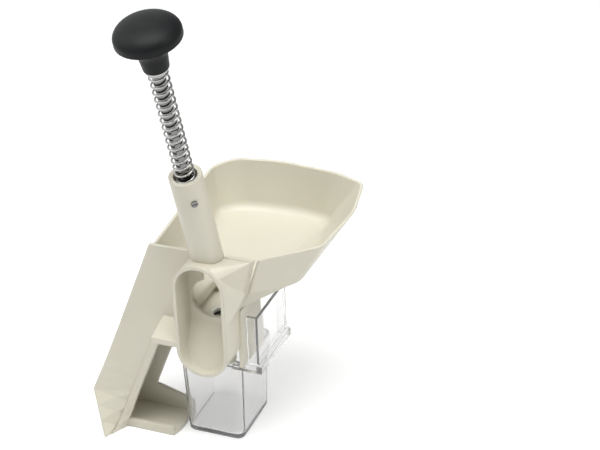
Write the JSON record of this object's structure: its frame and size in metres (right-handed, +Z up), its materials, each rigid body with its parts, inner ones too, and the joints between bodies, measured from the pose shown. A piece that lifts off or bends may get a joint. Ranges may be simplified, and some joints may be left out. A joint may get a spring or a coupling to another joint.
{
  "type": "cherry pitter",
  "caption": "Bench cherry pitter: sprung plunger with a mushroom knob over a guide barrel, side hopper, front chute, leaning leg, clear splash guard and slide-out stone container.",
  "frame": {"origin": "middle of the whole object's outline, on the surface that it stands on", "axes": "+X along the front wall to the hopper's side, +Y away from the user, +Z up"},
  "size_m": [0.156, 0.1712, 0.3057],
  "materials": {
    "cream_moulding": "moulded cream plastic, satin gloss",
    "cream_bush": "pale low-friction plastic",
    "charcoal_plastic": "satin charcoal plastic",
    "bright_steel": "bright polished steel",
    "plated_steel": "plated steel screw",
    "seat_rubber": "soft dark rubber",
    "clear_plastic": "clear moulded plastic"
  },
  "bodies": {
    "body": {"front_shell": "cream_moulding", "rear_shell": "cream_moulding", "housing_screws": "plated_steel", "pitting_chamber": "cream_moulding", "cherry_seat": "cream_bush", "seat_gasket": "seat_rubber", "stone_tube": "cream_moulding", "guide_barrel": "cream_moulding", "upper_bush": "cream_bush", "lower_bush": "cream_bush", "stripper_ring": "plated_steel", "spring_seat_washer": "plated_steel", "stop_screw": "plated_steel", "spring": "bright_steel", "hopper": "cream_moulding", "splash_guard": "clear_plastic"},
    "plunger": {"plunger_rod": "bright_steel", "pitting_tip": "bright_steel", "tip_pin": "plated_steel", "spring_top_washer": "bright_steel", "knob": "charcoal_plastic", "knob_stud": "plated_steel"},
    "container": {"stone_container": "clear_plastic"}
  },
  "joints": [
    {"name": "plunger_press", "type": "slide", "parent": "body", "child": "plunger", "axis": [0.0319, 0.2721, -0.9617], "range_m": [0, 0.048], "stiffness_N_per_m": 300, "springref_m": -0.02, "deforming": ["spring"]},
    {"name": "container_slide", "type": "slide", "parent": "body", "child": "container", "axis": [1, 0, 0], "range_m": [0, 0.06]}
  ]
}
